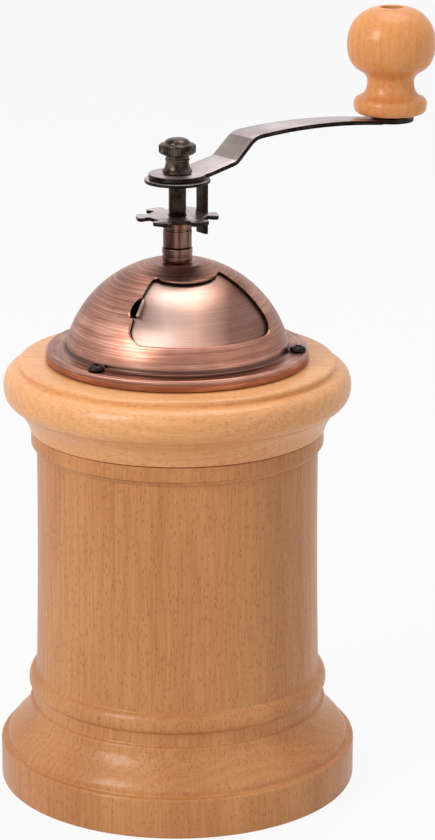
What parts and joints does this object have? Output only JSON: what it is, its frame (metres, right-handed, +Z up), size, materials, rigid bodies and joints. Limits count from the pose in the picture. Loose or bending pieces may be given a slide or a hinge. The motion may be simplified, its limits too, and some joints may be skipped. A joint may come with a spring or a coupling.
{
  "type": "manual coffee grinder",
  "caption": "Hand coffee mill: turned wooden column and moulded head ring, domed copper-coloured hopper with a sliding hatch, conical burrs, cranked arm and turned knob.",
  "frame": {"origin": "centre of the round base's underside, on the surface that the mill stands on", "axes": "+Z up along the column and the drive shaft, -Y the front with the hatch, +X to the right seen from the front"},
  "size_m": [0.1448, 0.1293, 0.2499],
  "materials": {
    "beech": "satin lacquer",
    "copper_plate": "antique copper plating, lacquered",
    "dark_bronze": "dark bronze plating",
    "pale_copper": "polished pale copper plating",
    "bright_steel": "zinc plated",
    "burr_iron": "sintered, bare",
    "bush_brass": "satin"
  },
  "bodies": {
    "column": {"column_body": "beech"},
    "head": {"head_ring": "beech", "dome": "copper_plate", "dome_screw_1": "dark_bronze", "dome_screw_2": "dark_bronze", "dome_screw_3": "dark_bronze", "top_bush": "copper_plate", "bush_nut": "bright_steel", "hopper_bowl": "bright_steel", "guide_bridge": "bright_steel", "guide_bush": "bush_brass", "ring_burr": "burr_iron", "bridge_screw_1": "bright_steel", "bridge_screw_2": "bright_steel"},
    "shutter": {"hatch_shutter": "copper_plate"},
    "adjuster": {"star_nut": "pale_copper"},
    "spindle": {"drive_shaft": "dark_bronze", "cone_burr": "burr_iron", "spring_washer": "bright_steel", "burr_spring": "bright_steel", "burr_washer": "bright_steel", "burr_nut": "bright_steel", "stopper_plate": "pale_copper", "crank_arm": "pale_copper", "thumb_nut": "dark_bronze", "knob_washer": "dark_bronze", "knob_axle": "bright_steel"},
    "hand_knob": {"knob": "beech"}
  },
  "joints": [
    {"name": "head_lift", "type": "slide", "parent": "column", "child": "head", "axis": [0, 0, 1], "range_m": [0, 0.045]},
    {"name": "hatch_slide", "type": "hinge", "parent": "head", "child": "shutter", "pos_m": [0, 0, 0.1397], "axis": [0, 0, 1], "range_deg": [0, 91]},
    {"name": "crank_turn", "type": "hinge", "parent": "head", "child": "adjuster", "pos_m": [0, 0, 0.186], "axis": [0, 0, 1], "continuous": true},
    {"name": "grind_setting", "type": "slide", "parent": "adjuster", "child": "spindle", "axis": [0, 0, 1], "range_m": [-0.001, 0.001], "deforming": ["burr_spring"]},
    {"name": "knob_spin", "type": "hinge", "parent": "spindle", "child": "hand_knob", "pos_m": [0.07076, 0.05529, 0.22], "axis": [0, 0, 1], "continuous": true}
  ]
}
